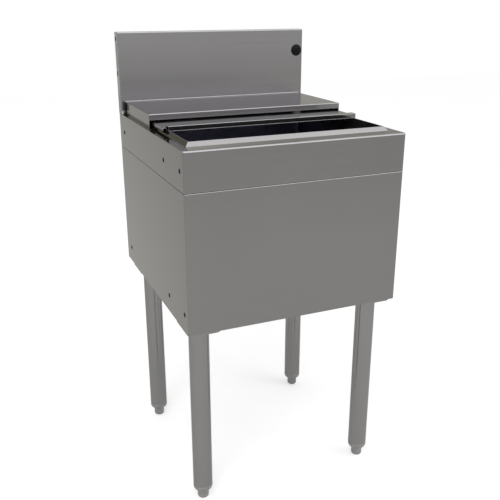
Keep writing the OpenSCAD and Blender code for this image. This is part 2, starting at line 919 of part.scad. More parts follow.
module leg_tube_front_left() { leg_tube(0); }
module leg_tube_front_right() { leg_tube(1); }
module leg_tube_rear_left() { leg_tube(2); }
module leg_tube_rear_right() { leg_tube(3); }

// Threaded insert: a core that the stem screws into, held in the tube by lands
module foot_insert(k) {
    z0 = foot_h + insert_gap;
    land_h = insert_l / (2 * insert_lands - 1);
    color("dimgray")
        at_leg(k)
            difference() {
                union() {
                    translate([0, 0, z0]) cylinder(r = insert_core_r, h = insert_l);
                    for (n = [0 : insert_lands - 1])
                        translate([0, 0, z0 + 2 * n * land_h])
                            cylinder(r = tube_bore_r - fit_gap, h = land_h);
                }
                translate([0, 0, z0 - cut]) cylinder(r = stem_d / 2 + fit_gap, h = insert_l + 2 * cut);
            }
}

module foot_insert_front_left() { foot_insert(0); }
module foot_insert_front_right() { foot_insert(1); }
module foot_insert_rear_left() { foot_insert(2); }
module foot_insert_rear_right() { foot_insert(3); }

// Bullet foot: rounded tip, straight lower part, domed shoulder as wide as the tube
module foot(k) {
    r = foot_d / 2;
    band_z = foot_h - shoulder_band;
    color("gray")
        at_leg(k) {
            rotate_extrude()
                intersection() {
                    union() {
                        square([r - foot_tip_r, foot_h]);
                        translate([0, foot_tip_r]) square([r, foot_h - foot_tip_r]);
                        translate([r - foot_tip_r, foot_tip_r]) circle(foot_tip_r);
                        translate([r, band_z]) circle(shoulder_r);
                        translate([0, band_z]) square([leg_r, shoulder_band]);
                    }
                    square([leg_r, foot_h]);
                }
            translate([0, 0, foot_h - cut]) cylinder(d = stem_d, h = stem_l + cut);
        }
}

module foot_front_left() { foot(0); }
module foot_front_right() { foot(1); }
module foot_rear_left() { foot(2); }
module foot_rear_right() { foot(3); }

// Countersunk head, flush with the underside of the plate
module plate_bolt_head(gap) {
    translate([0, 0, -gap])
        cylinder(
            r1 = plate_bolt_head_d / 2 + 2 * gap, r2 = plate_bolt_d / 2 + gap, h = plate_bolt_head_h + gap
        );
}

// Countersunk bolts that hold the leg plates to the bottom panel
module plate_bolts() {
    color("silver")
        for (p = leg_places(), q = bolt_places())
            translate([p[0] + q[0], p[1] + q[1], plate_z])
                difference() {
                    union() {
                        plate_bolt_head(0);
                        cylinder(d = plate_bolt_d, h = plate_t + plate_bolt_l);
                    }
                    translate([0, 0, -cut])
                        cylinder(d = plate_bolt_socket_w, h = plate_bolt_socket_l + cut, $fn = 6);
                }
}

// Threaded nuts set in the bottom panel, one for each plate bolt
module plate_nuts() {
    bore_r = plate_bolt_d / 2 + fit_gap;
    color("darkgray")
        for (p = leg_places(), q = bolt_places())
            translate([p[0] + q[0], p[1] + q[1], base_z + sheet_t])
                difference() {
                    union() {
                        cylinder(r = rivet_nut_head_r, h = rivet_nut_head_h);
                        cylinder(r = rivet_nut_r, h = rivet_nut_l);
                    }
                    translate([0, 0, -cut]) cylinder(r = bore_r, h = rivet_nut_l + 2 * cut);
                }
}

// Grub screws that lock each tube to its spigot, on the side that faces inward
module leg_set_screws() {
    color("dimgray")
        for (k = [0 : len(leg_places()) - 1])
            at_leg(k)
                translate([leg_r - set_screw_l, 0, plate_z - set_screw_drop])
                    rotate([0, 90, 0])
                        difference() {
                            cylinder(d = set_screw_d, h = set_screw_l);
                            translate([0, 0, set_screw_l - set_screw_socket_l])
                                cylinder(d = set_screw_socket_w, h = set_screw_socket_l + cut, $fn = 6);
                        }
}

deck_top();
side_apron_left();
side_apron_right();
backsplash();
backsplash_back();
hose_plug();
bin_liner();
insulation();
front_panel();
side_panel_left();
side_panel_right();
back_panel();
bottom_panel();
side_plugs_left();
side_plugs_right();
rear_cover();
front_cover();
drain_body();
drain_strainer();
strainer_screw();
drain_gasket();
drain_locknut();
drain_tailpiece();
leg_plate_front_left();
leg_plate_front_right();
leg_plate_rear_left();
leg_plate_rear_right();
leg_tube_front_left();
leg_tube_front_right();
leg_tube_rear_left();
leg_tube_rear_right();
foot_insert_front_left();
foot_insert_front_right();
foot_insert_rear_left();
foot_insert_rear_right();
foot_front_left();
foot_front_right();
foot_rear_left();
foot_rear_right();
plate_bolts();
plate_nuts();
leg_set_screws();
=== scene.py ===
import json
import math

import bmesh
import bpy
from mathutils import Matrix, Vector


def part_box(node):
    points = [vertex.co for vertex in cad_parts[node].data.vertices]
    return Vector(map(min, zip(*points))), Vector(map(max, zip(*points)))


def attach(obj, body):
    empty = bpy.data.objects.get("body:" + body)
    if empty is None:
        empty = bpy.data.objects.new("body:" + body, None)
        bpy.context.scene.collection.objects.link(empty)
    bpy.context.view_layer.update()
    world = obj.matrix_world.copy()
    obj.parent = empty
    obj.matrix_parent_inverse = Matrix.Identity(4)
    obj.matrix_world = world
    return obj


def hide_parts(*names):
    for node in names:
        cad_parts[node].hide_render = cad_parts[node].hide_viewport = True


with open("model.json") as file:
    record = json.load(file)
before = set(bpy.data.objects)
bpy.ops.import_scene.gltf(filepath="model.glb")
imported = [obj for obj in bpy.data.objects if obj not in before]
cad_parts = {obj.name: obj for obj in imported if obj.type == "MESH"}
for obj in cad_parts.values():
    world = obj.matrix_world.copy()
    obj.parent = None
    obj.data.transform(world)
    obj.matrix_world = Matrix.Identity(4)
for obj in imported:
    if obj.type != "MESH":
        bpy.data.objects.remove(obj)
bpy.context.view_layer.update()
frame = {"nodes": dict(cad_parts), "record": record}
scene = bpy.context.scene
mm = 0.001  # Pieces are sized in millimetres, Blender's frame is in metres


# Node helpers

noiseSpan = (0.3, 0.7)  # Nearly all values of a noise lie between these
noiseRoughness = 0.55


def addNode(tree, kind, values=None, **settings):
    node = tree.nodes.new(kind)
    for key, value in settings.items():
        setattr(node, key, value)
    for key, value in (values or {}).items():
        if isinstance(value, bpy.types.NodeSocket):
            tree.links.new(value, node.inputs[key])
        else:
            node.inputs[key].default_value = value
    return node


def maths(tree, operation, first, second=0.0, third=0.0):
    values = {0: first, 1: second, 2: third}
    return addNode(tree, "ShaderNodeMath", values, operation=operation).outputs[0]


def mixColour(tree, factor, first, second, blend="MIX"):
    # Inputs 6 and 7 are the colour pair of a Mix node, output 2 its colour
    first = first if isinstance(first, bpy.types.NodeSocket) else (*first, 1)
    second = second if isinstance(second, bpy.types.NodeSocket) else (*second, 1)
    return addNode(
        tree, "ShaderNodeMix", {0: factor, 6: first, 7: second}, data_type="RGBA", blend_type=blend
    ).outputs[2]


def ease(tree, value, start, end, low=0.0, high=1.0):
    values = {"Value": value, "From Min": start, "From Max": end, "To Min": low, "To Max": high}
    return addNode(tree, "ShaderNodeMapRange", values, interpolation_type="SMOOTHSTEP").outputs["Result"]


def noiseAt(tree, place, stretch, detail=3.0):
    mapping = addNode(tree, "ShaderNodeMapping", {"Vector": place, "Scale": stretch})
    return addNode(tree, "ShaderNodeTexNoise", {
        "Vector": mapping.outputs["Vector"], "Scale": 1.0, "Detail": detail, "Roughness": noiseRoughness,
    }).outputs["Fac"]


def objectPlace(tree):
    return addNode(tree, "ShaderNodeTexCoord").outputs["Object"]


def newMaterial(name):
    material = bpy.data.materials.new(name)
    material.use_nodes = True
    tree = material.node_tree
    tree.nodes.clear()
    shader = addNode(tree, "ShaderNodeBsdfPrincipled")
    addNode(tree, "ShaderNodeOutputMaterial", {"Surface": shader.outputs["BSDF"]})
    return material, tree, shader


def addBump(tree, shader, height, strength, distance):
    bump = addNode(tree, "ShaderNodeBump", {"Height": height, "Strength": strength, "Distance": distance})
    tree.links.new(bump.outputs["Normal"], shader.inputs["Normal"])


# Satin steel: fine belt grain, broad tone streaks, soft smears and rubbed edges

satinLook = {
    "dark": (0.201, 0.195, 0.188),
    "light": (0.211, 0.205, 0.198),
    "edge": (0.245, 0.24, 0.235),
    "edgeTint": (0.76, 0.755, 0.725),
    "edgeWidth": 1.2 * mm,
    "edgeSamples": 4,
    "edgeMatch": (0.995, 0.86),
    "wearSpan": (0.35, 0.65),
    # Painted shade: how dark, how far reaching and how sharp the ambient-occlusion darkening of seams and
    # inner corners is
    "creaseShade": 0.3,
    "creaseShadeReach": 3.0 * mm,
    "creaseShadeSamples": 8,
    "creaseShadeSpan": (0.3, 0.64),
    "metallic": 0.95,
    "roughness": (0.09, 0.12),
    "smearRoughness": 0.03,
    "frontSpread": 0.1,
    "frontSpan": (-0.6, -0.9),
    "sideways": 0.7,
    "fineGrain": (2.5, 950.0),
    "broadGrain": (0.9, 110.0),
    "smears": 6.0,
    "smearDetail": 4.0,
    "smearShare": 0.5,
    "grainBump": 0.06,
    "grainDepth": 0.015 * mm,
}


def edgeWear(tree, look):
    # How far the rounded normal turns from the true one: nought on flats, about one on edges
    rounded = addNode(tree, "ShaderNodeBevel", {"Radius": look["edgeWidth"]}, samples=look["edgeSamples"])
    facing = addNode(tree, "ShaderNodeNewGeometry")
    match = addNode(
        tree, "ShaderNodeVectorMath", {0: rounded.outputs["Normal"], 1: facing.outputs["Normal"]},
        operation="DOT_PRODUCT",
    )
    return ease(tree, match.outputs["Value"], *look["edgeMatch"])


def grainNoise(tree, place, grain, longAxis):
    along, across = grain
    stretch = [across] * 3
    stretch[longAxis] = along
    return noiseAt(tree, place, stretch)


def satinSteel(name, look, upright=False):
    material, tree, shader = newMaterial(name)
    coords = addNode(tree, "ShaderNodeTexCoord")
    place = coords.outputs["Object"]
    facing = addNode(tree, "ShaderNodeSeparateXYZ", {0: coords.outputs["Normal"]}).outputs
    if upright:
        fine, broad = [grainNoise(tree, place, look[grain], 2) for grain in ("fineGrain", "broadGrain")]
    else:
        # The belt runs along X, and along Y on faces that look sideways
        sideways = maths(tree, "GREATER_THAN", maths(tree, "ABSOLUTE", facing["X"]), look["sideways"])
        fine, broad = [
            addNode(tree, "ShaderNodeMix", {
                0: sideways,
                2: grainNoise(tree, place, look[grain], 0),
                3: grainNoise(tree, place, look[grain], 1),
            }).outputs[0]
            for grain in ("fineGrain", "broadGrain")
        ]
    smears = noiseAt(tree, place, [look["smears"]] * 3, look["smearDetail"])
    share = look["smearShare"]
    tone = maths(tree, "MULTIPLY_ADD", broad, 1.0 - share, maths(tree, "MULTIPLY", smears, share))
    worn = maths(tree, "MULTIPLY", edgeWear(tree, look), ease(tree, smears, *look["wearSpan"]))
    body = mixColour(tree, ease(tree, tone, *noiseSpan), look["dark"], look["light"])
    # Painted shade: an ambient-occlusion mask darkens seams and inner corners
    reach = {"Distance": look["creaseShadeReach"]}
    clear = addNode(tree, "ShaderNodeAmbientOcclusion", reach, samples=look["creaseShadeSamples"]).outputs["AO"]
    paintedShade = ease(tree, clear, *look["creaseShadeSpan"], look["creaseShade"], 1.0)
    cleaned = mixColour(tree, worn, body, look["edge"])
    tree.links.new(mixColour(tree, 1.0, cleaned, paintedShade, "MULTIPLY"), shader.inputs["Base Color"])
    shader.inputs["Specular Tint"].default_value = (*look["edgeTint"], 1)
    streaked = ease(tree, broad, *noiseSpan, *look["roughness"])
    smeared = maths(tree, "MULTIPLY_ADD", smears, look["smearRoughness"], streaked)
    # Faces that look to the front are seen across the belt grain, which spreads what they mirror
    spread = ease(tree, facing["Y"], *look["frontSpan"], 0.0, look["frontSpread"])
    tree.links.new(maths(tree, "ADD", smeared, spread), shader.inputs["Roughness"])
    shader.inputs["Metallic"].default_value = look["metallic"]
    addBump(tree, shader, fine, look["grainBump"], look["grainDepth"])
    return material


# Turned and plated steel

turnedLook = {
    "dark": (0.23, 0.225, 0.22),
    "light": (0.29, 0.285, 0.28),
    "blotches": (40.0, 40.0, 60.0),
    "rings": (3.0, 3.0, 1400.0),
    "ringDetail": 2.0,
    "metallic": 0.9,
    "roughness": (0.2, 0.3),
    "bump": 0.2,
    "depth": 0.03 * mm,
}


def turnedSteel(name, look):
    # Lathe marks run round the axis, so they change only with height
    material, tree, shader = newMaterial(name)
    place = objectPlace(tree)
    rings = noiseAt(tree, place, look["rings"], look["ringDetail"])
    blotches = noiseAt(tree, place, look["blotches"])
    colour = mixColour(tree, ease(tree, blotches, *noiseSpan), look["dark"], look["light"])
    tree.links.new(colour, shader.inputs["Base Color"])
    tree.links.new(ease(tree, rings, *noiseSpan, *look["roughness"]), shader.inputs["Roughness"])
    shader.inputs["Metallic"].default_value = look["metallic"]
    addBump(tree, shader, rings, look["bump"], look["depth"])
    return material


# Moulded plastic and rubber

plasticLook = {
    "dark": (0.014, 0.014, 0.014),
    "light": (0.022, 0.022, 0.022),
    "flow": 70.0,
    "grain": 1100.0,
    "grainDetail": 2.0,
    "roughness": (0.34, 0.46),
    "ior": 1.45,
    "bump": 0.2,
    "depth": 0.04 * mm,
}


def mouldedPlastic(name, look):
    material, tree, shader = newMaterial(name)
    shader.inputs["IOR"].default_value = look["ior"]
    place = objectPlace(tree)
    grain = noiseAt(tree, place, [look["grain"]] * 3, look["grainDetail"])
    flow = noiseAt(tree, place, [look["flow"]] * 3)
    colour = mixColour(tree, ease(tree, flow, *noiseSpan), look["dark"], look["light"])
    tree.links.new(colour, shader.inputs["Base Color"])
    tree.links.new(ease(tree, grain, *noiseSpan, *look["roughness"]), shader.inputs["Roughness"])
    addBump(tree, shader, grain, look["bump"], look["depth"])
    return material


# Foam between the bin and the panels

foamLook = {
    "pale": (0.66, 0.52, 0.24),
    "deep": (0.44, 0.31, 0.11),
    "cells": 420.0,
    "cellShare": 0.5,
    "ageing": 14.0,
    "ageingDetail": 4.0,
    "ageingShare": 0.6,
    "shadeSpan": (0.3, 0.8),
    "roughness": 0.85,
    "bump": 0.5,
    "depth": 0.5 * mm,
}


def rigidFoam(name, look):
    material, tree, shader = newMaterial(name)
    place = objectPlace(tree)
    values = {"Vector": place, "Scale": look["cells"]}
    cells = addNode(tree, "ShaderNodeTexVoronoi", values).outputs["Distance"]
    aged = noiseAt(tree, place, [look["ageing"]] * 3, look["ageingDetail"])
    celled = maths(tree, "MULTIPLY", cells, look["cellShare"])
    shade = maths(tree, "MULTIPLY_ADD", aged, look["ageingShare"], celled)
    colour = mixColour(tree, ease(tree, shade, *look["shadeSpan"]), look["pale"], look["deep"])
    tree.links.new(colour, shader.inputs["Base Color"])
    shader.inputs["Roughness"].default_value = look["roughness"]
    addBump(tree, shader, cells, look["bump"], look["depth"])
    return material


# Mill sheet with the crystal blotches of its coating

millLook = {
    "dark": (0.215, 0.215, 0.213),
    "light": (0.285, 0.285, 0.28),
    "grains": 120.0,
    "grainShare": 0.22,
    "streaks": (3.0, 90.0, 90.0),
    "toneSpan": (0.15, 0.85),
    "metallic": 0.8,
    "roughness": (0.32, 0.44),
    "bump": 0.1,
    "depth": 0.03 * mm,
}


def coatedSheet(name, look):
    material, tree, shader = newMaterial(name)
    place = objectPlace(tree)
    crystals = addNode(tree, "ShaderNodeTexVoronoi", {"Vector": place, "Scale": look["grains"]})
    tone = addNode(tree, "ShaderNodeSeparateXYZ", {0: crystals.outputs["Color"]}).outputs["X"]
    streaks = noiseAt(tree, place, look["streaks"])
    share = look["grainShare"]
    blend = maths(tree, "MULTIPLY_ADD", tone, share, maths(tree, "MULTIPLY", streaks, 1.0 - share))
    colour = mixColour(tree, ease(tree, blend, *look["toneSpan"]), look["dark"], look["light"])
    tree.links.new(colour, shader.inputs["Base Color"])
    tree.links.new(ease(tree, tone, 0.0, 1.0, *look["roughness"]), shader.inputs["Roughness"])
    shader.inputs["Metallic"].default_value = look["metallic"]
    addBump(tree, shader, streaks, look["bump"], look["depth"])
    return material


print("materials")
# The bin steel is a bluish copy of the satin steel: a painted tint of reflected light, standing in for the
# navy cast of the shaded bin interior
binTintedLook = dict(
    satinLook, dark=(0.24, 0.24, 0.295), light=(0.275, 0.275, 0.335), roughness=(0.16, 0.22), metallic=0.9,
)
rollLook = dict(satinLook, frontSpread=0.0)
# The leg steel is a lighter copy of the satin steel: painted light, making up for the shaded floor under the
# cabinet that the legs mirror
tubeLightenedLook = dict(satinLook, dark=(0.228, 0.224, 0.218), light=(0.24, 0.236, 0.23), fineGrain=(6.0, 1500.0))
platedLook = dict(turnedLook, dark=(0.30, 0.29, 0.26), light=(0.40, 0.38, 0.33))
chromeLook = dict(
    turnedLook, dark=(0.45, 0.45, 0.46), light=(0.5, 0.5, 0.51), rings=(3.0, 3.0, 300.0),
    roughness=(0.07, 0.12), metallic=1.0,
)
plugLook = dict(
    plasticLook, dark=(0.005, 0.005, 0.0045), light=(0.009, 0.009, 0.008), roughness=(0.25, 0.36), ior=1.13,
)
dotLook = dict(plasticLook, dark=(0.006, 0.006, 0.0055), light=(0.01, 0.01, 0.009), roughness=(0.14, 0.2))
pipeLook = dict(plasticLook, dark=(0.60, 0.60, 0.57), light=(0.66, 0.66, 0.63), roughness=(0.3, 0.4))
sealLook = dict(
    plasticLook, dark=(0.018, 0.018, 0.018), light=(0.03, 0.03, 0.03), roughness=(0.6, 0.75), grain=500.0,
)
rollFinish = satinSteel("coverRoll", rollLook)
dotFinish = mouldedPlastic("blackPlugDots", dotLook)
slotFinish = {
    "satin_steel": satinSteel("satinSheet", satinLook),
    "bin_steel": satinSteel("binLinerTintedSheet", binTintedLook),
    "leg_steel": satinSteel("polishedTubeLightened", tubeLightenedLook, upright=True),
    "backing_steel": coatedSheet("backingSheet", millLook),
    "foot_steel": turnedSteel("turnedFoot", turnedLook),
    "fastener_steel": turnedSteel("platedFastener", platedLook),
    "drain_metal": turnedSteel("chromedDrain", chromeLook),
    "black_plastic": mouldedPlastic("blackPlug", plugLook),
    "insert_plastic": mouldedPlastic("blackInsert", plasticLook),
    "drain_plastic": mouldedPlastic("paleDrainPipe", pipeLook),
    "seal_rubber": mouldedPlastic("rubberSeal", sealLook),
    "foam": rigidFoam("rigidFoam", foamLook),
}
slotOf = {entry["node"]: entry["material_slot"] for entry in frame["record"]["subparts"]}
bodyOf = {
    nodeName: bodyName
    for bodyName, members in frame["record"]["behaviour"]["bodies"].items() for nodeName in members
}


def finishOf(node):
    return slotFinish[slotOf[node]]


for nodeName, node in frame["nodes"].items():
    node.data.materials.clear()
    node.data.materials.append(finishOf(nodeName))


# Mesh helpers

smoothAngle = 30
edgeLook = {"foldAngle": 40, "segments": 2}
sheetCopy = {"merge": 0.004 * mm, "flatAngle": 0.6, "cutInset": 3.3 * mm, "cutMerge": 0.01 * mm}
axisReach = 0.0001  # A lathe point nearer to the axis than this lies on it


def evaluatedMesh(obj):
    bpy.context.view_layer.update()
    depsgraph = bpy.context.evaluated_depsgraph_get()
    return bpy.data.meshes.new_from_object(obj.evaluated_get(depsgraph), depsgraph=depsgraph)


def finishPiece(name, mesh, node, bevel=0.0, thickness=0.0, smooth=smoothAngle, finish=None):
    # Folds and edges are rounded here, then the piece is a plain mesh again
    mesh.shade_smooth()
    mesh.set_sharp_from_angle(angle=math.radians(smooth))
    piece = bpy.data.objects.new(name, mesh)
    scene.collection.objects.link(piece)
    if thickness:
        wall = piece.modifiers.new("sheet", "SOLIDIFY")
        wall.thickness = thickness * mm
        wall.offset = -1
    if bevel:
        edges = piece.modifiers.new("edges", "BEVEL")
        edges.width = bevel * mm
        edges.segments = edgeLook["segments"]
        edges.limit_method = "ANGLE"
        edges.angle_limit = math.radians(edgeLook["foldAngle"])
        flats = piece.modifiers.new("flats", "WEIGHTED_NORMAL")
        flats.keep_sharp = False
    if thickness or bevel:
        finished = evaluatedMesh(piece)
        piece.modifiers.clear()
        piece.data = finished
    piece.data.name = name
    piece.data.materials.clear()
    piece.data.materials.append(finish or finishOf(node))
    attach(piece, bodyOf[node])
    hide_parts(node)


def meshOf(name, bm):
    mesh = bpy.data.meshes.new(name)
    bm.to_mesh(mesh)
    bm.free()
    return mesh


def toMetres(bm, place=None):
    if place is not None:
        bmesh.ops.transform(bm, matrix=place, verts=bm.verts)
    bmesh.ops.scale(bm, vec=(mm,) * 3, verts=bm.verts)


def solidMesh(name, bm, place=None):
    toMetres(bm, place)
    bmesh.ops.recalc_face_normals(bm, faces=bm.faces)
    return meshOf(name, bm)


def cutNearSides(bm, look):
    # Rows of vertices beside the folds keep their shading off the long flats
    corners = [Vector(map(pick, *(v.co for v in bm.verts))) for pick in (min, max)]
    for axis in range(3):
        for corner, way in zip(corners, (1, -1)):
            at, normal = Vector(corner), Vector((0, 0, 0))
            at[axis] += way * look["cutInset"]
            normal[axis] = 1
            bmesh.ops.bisect_plane(
                bm, geom=bm.verts[:] + bm.edges[:] + bm.faces[:],
                dist=look["cutMerge"], plane_co=at, plane_no=normal,
            )


def softenedCopy(name, node, bevel):
    # The CAD solid with its cut edges eased
    bm = bmesh.new()
    bm.from_mesh(frame["nodes"][node].data)
    bmesh.ops.remove_doubles(bm, verts=bm.verts, dist=sheetCopy["merge"])
    flat = math.radians(sheetCopy["flatAngle"])
    bmesh.ops.dissolve_limit(bm, angle_limit=flat, verts=bm.verts, edges=bm.edges)
    cutNearSides(bm, sheetCopy)
    finishPiece(name, meshOf(name, bm), node, bevel=bevel)


def roundPath(corners, steps, closed=True):
    # Each corner is (a, b) or (a, b, radius)
    points = []
    for i, corner in enumerate(corners):
        here = Vector(corner[:2])
        if len(corner) == 2 or (not closed and i in (0, len(corners) - 1)):
            points.append(here)
            continue
        back = (Vector(corners[i - 1][:2]) - here).normalized()
        ahead = (Vector(corners[(i + 1) % len(corners)][:2]) - here).normalized()
        half = back.angle(ahead) / 2
        centre = here + (back + ahead).normalized() * corner[2] / math.sin(half)
        start = here + back * corner[2] / math.tan(half) - centre
        end = here + ahead * corner[2] / math.tan(half) - centre
        first = math.atan2(start.y, start.x)
        sweep = (math.atan2(end.y, end.x) - first + math.pi) % math.tau - math.pi
        for k in range(steps + 1):
            angle = first + sweep * k / steps
            points.append(centre + corner[2] * Vector((math.cos(angle), math.sin(angle))))
    return points


def hexagon(width):
    # How far a hexagon of that width across its flats reaches at an angle
    return lambda angle: width / 2 / math.cos(angle % (math.pi / 3) - math.pi / 6)


def lathe(bm, profile, sides, ring=False):
    # Profile points are (radius, height); a radius may be a rule of the angle
    rows = []
    for radius, height in profile:
        if not callable(radius) and radius < axisReach:
            rows.append([bm.verts.new((0, 0, height))])
            continue
        row = []
        for k in range(sides):
            angle = math.tau * k / sides
            reach = radius(angle) if callable(radius) else radius
            row.append(bm.verts.new((reach * math.cos(angle), reach * math.sin(angle), height)))
        rows.append(row)
    for lower, upper in zip(rows, rows[1:] + (rows[:1] if ring else [])):
        for k in range(sides):
            n = (k + 1) % sides
            corners = [
                lower[k % len(lower)], lower[n % len(lower)], upper[n % len(upper)], upper[k % len(upper)],
            ]
            corners = list(dict.fromkeys(corners))
            if len(corners) > 2:
                bm.faces.new(corners)


# Geometry Nodes helpers

socketKinds = {
    "size": "NodeSocketFloat", "count": "NodeSocketInt", "place": "NodeSocketVector",
    "turn": "NodeSocketRotation", "part": "NodeSocketObject", "finish": "NodeSocketMaterial",
}
seamMerge = 0.001 * mm


def newTree(name, inputs):
    tree = bpy.data.node_groups.new(name, "GeometryNodeTree")
    tree.interface.new_socket("Geometry", in_out="INPUT", socket_type="NodeSocketGeometry")
    for label, kind in {**inputs, "Finish": "finish"}.items():
        tree.interface.new_socket(label, in_out="INPUT", socket_type=socketKinds[kind])
    tree.interface.new_socket("Geometry", in_out="OUTPUT", socket_type="NodeSocketGeometry")
    return tree, addNode(tree, "NodeGroupInput").outputs


def closeTree(tree, given, geometry):
    real = addNode(tree, "GeometryNodeRealizeInstances", {"Geometry": geometry})
    values = {"Geometry": real.outputs[0], "Material": given["Finish"]}
    painted = addNode(tree, "GeometryNodeSetMaterial", values)
    addNode(tree, "NodeGroupOutput", {"Geometry": painted.outputs[0]})
    return tree


def growMesh(name, tree, values, points=((0, 0, 0),), edges=()):
    seed = bpy.data.meshes.new(name)
    seed.from_pydata([tuple(p) for p in points], edges, [])
    carrier = bpy.data.objects.new(name, seed)
    scene.collection.objects.link(carrier)
    modifier = carrier.modifiers.new(name, "NODES")
    modifier.node_group = tree
    for item in tree.interface.items_tree:
        if item.item_type == "SOCKET" and item.in_out == "INPUT" and item.name in values:
            modifier[item.identifier] = values[item.name]
    grown = evaluatedMesh(carrier)
    carrier.modifiers.remove(modifier)
    bpy.data.objects.remove(carrier)
    return grown


def circleNode(tree, sides, radius):
    values = {"Resolution": sides, "Radius": radius}
    return addNode(tree, "GeometryNodeCurvePrimitiveCircle", values, mode="RADIUS").outputs[0]


def plateFromCurves(tree, curves, depth):
    # Fills nested closed curves, holes left open, and gives the face its thickness
    joined = addNode(tree, "GeometryNodeJoinGeometry")
    for curve in curves:
        tree.links.new(curve, joined.inputs[0])
    face = addNode(tree, "GeometryNodeFillCurve", {"Curve": joined.outputs[0]}, mode="TRIANGLES").outputs[0]
    values = {"Mesh": face, "Offset Scale": depth, "Individual": False}
    raised = addNode(tree, "GeometryNodeExtrudeMesh", values, mode="FACES").outputs[0]
    under = addNode(tree, "GeometryNodeFlipFaces", {"Mesh": face}).outputs[0]
    closed = addNode(tree, "GeometryNodeJoinGeometry")
    tree.links.new(raised, closed.inputs[0])
    tree.links.new(under, closed.inputs[0])
    values = {"Geometry": closed.outputs[0], "Distance": seamMerge}
    return addNode(tree, "GeometryNodeMergeByDistance", values).outputs[0]


def repeatTree(name):
    tree, given = newTree(name, {"Part": "part", "Turn": "turn"})
    part = addNode(tree, "GeometryNodeObjectInfo", {"Object": given["Part"], "As Instance": True})
    copies = addNode(tree, "GeometryNodeInstanceOnPoints", {
        "Points": given["Geometry"], "Instance": part.outputs["Geometry"], "Rotation": given["Turn"],
    })
    return closeTree(tree, given, copies.outputs[0])


def repeatPart(name, partMesh, places, node, turn=(0, 0, 0), smooth=smoothAngle):
    model = bpy.data.objects.new(name + "Model", partMesh)
    scene.collection.objects.link(model)
    values = {"Part": model, "Turn": turn, "Finish": finishOf(node)}
    grown = growMesh(name, repeatTree(name + "Rows"), values, [Vector(p) * mm for p in places])
    bpy.data.objects.remove(model)
    finishPiece(name, grown, node, smooth=smooth)


def profileRunTree():
    # Closed (y, z) loops are filled, the inner ones left open, and drawn out along X
    tree, given = newTree("profileRun", {"Length": "size", "Start": "place"})
    loops = addNode(tree, "GeometryNodeMeshToCurve", {"Mesh": given["Geometry"]}).outputs[0]
    laid = addNode(tree, "GeometryNodeTransform", {
        "Geometry": plateFromCurves(tree, [loops], given["Length"]),
        "Rotation": (math.pi / 2, 0, math.pi / 2), "Translation": given["Start"],
    })
    return closeTree(tree, given, laid.outputs[0])


runTree = profileRunTree()


def drawRun(name, node, loops, end, bevel=0.0, smooth=smoothAngle, finish=None):
    # The run reaches as far to the left as to the right
    points, edges = [], []
    for loop in loops:
        first = len(points)
        points += [(y * mm, z * mm, 0) for y, z in loop]
        edges += [(first + k, first + (k + 1) % len(loop)) for k in range(len(loop))]
    finish = finish or finishOf(node)
    values = {"Length": 2 * end * mm, "Start": Vector((-end, 0, 0)) * mm, "Finish": finish}
    grown = growMesh(name, runTree, values, points, edges)
    finishPiece(name, grown, node, bevel=bevel, smooth=smooth, finish=finish)


# Sheet metal, plates and tubes: the CAD solids with their cut edges eased

print("folded sheets")
sheetPieces = {
    "deckSheet": ("deck_top", 0.3),
    "apronSheetLeft": ("side_apron_left", 0.25),
    "apronSheetRight": ("side_apron_right", 0.25),
    "splashSheet": ("backsplash", 0.25),
    "splashBacking": ("backsplash_back", 0.25),
    "frontSheet": ("front_panel", 0.25),
    "sideSheetLeft": ("side_panel_left", 0.25),
    "sideSheetRight": ("side_panel_right", 0.25),
    "backSheet": ("back_panel", 0.25),
    "bottomSheet": ("bottom_panel", 0.25),
    "rearCoverPan": ("rear_cover", 0.3),
}
for pieceName, (nodeName, easing) in sheetPieces.items():
    softenedCopy(pieceName, nodeName, easing)

legCorners = ("front_left", "front_right", "rear_left", "rear_right")
legEasing = {"plate": 0.8, "tube": 0.3}


def cornerName(corner):
    return corner.title().replace("_", "")


for corner in legCorners:
    for form, easing in legEasing.items():
        softenedCopy("leg" + form.title() + cornerName(corner), "leg_" + form + "_" + corner, easing)


# Rear cover: its rear edge turns up in a soft bend, not in a sharp corner

print("covers")
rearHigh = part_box("rear_cover")[1] / mm
rearCover = {
    "side": rearHigh.x, "sideInset": 0.4,
    "rear": rearHigh.y, "top": rearHigh.z, "lip": 3.0, "sheet": 1.2,
    "fold": 1.7, "foldSteps": 6, "inLip": 0.5, "inPlate": 0.4, "smooth": 20,
}


def coverFold(look):
    face, top, fold = look["rear"] - look["sheet"], look["top"] - look["lip"], look["fold"]
    outline = [(face + look["inLip"], top - look["inPlate"]), (face + look["inLip"], top + fold)]
    for k in range(look["foldSteps"] + 1):
        angle = math.pi / 2 * k / look["foldSteps"]
        outline.append((face - fold + fold * math.cos(angle), top + fold - fold * math.sin(angle)))
    outline.append((face - fold, top - look["inPlate"]))
    end = look["side"] - look["sideInset"]
    drawRun("rearCoverFold", "rear_cover", [outline], end, smooth=look["smooth"])


coverFold(rearCover)


# Front cover: a shallow pan with a rolled nose

coverLow, coverHigh = [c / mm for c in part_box("front_cover")]
frontCover = {
    "halfWidth": coverHigh.x,
    "low": coverLow.z,
    "rear": coverHigh.y,
    "sheet": 1.2,
    "easing": 0.25,
    "flange": 7.0,
    "flangeCorner": 4.0,
    "cornerSteps": 4,
    "bend": 1.6,
    "rearBend": 1.6,
    "bendSteps": 5,
    "rearFlange": 4.2,
    "notch": 1.2,
    "wingLap": 3.6,
    "tolerance": 0.01,
    "noseFront": coverLow.y,
    "noseTop": coverHigh.z,
    "noseDepth": 20.0,
    "noseHeight": 9.7,
    "noseHalf": 206.4,
    "noseRoll": 0.8,
    "leastRoll": 0.2,
    "noseCurl": 4.7,
    "noseSteps": 8,
    "noseEasing": 0.2,
    "hem": 0.9,
    "hemLap": 0.7,
    "hemLaps": 3,
    "hemRound": 0.45,
    "hemSteps": 4,
}


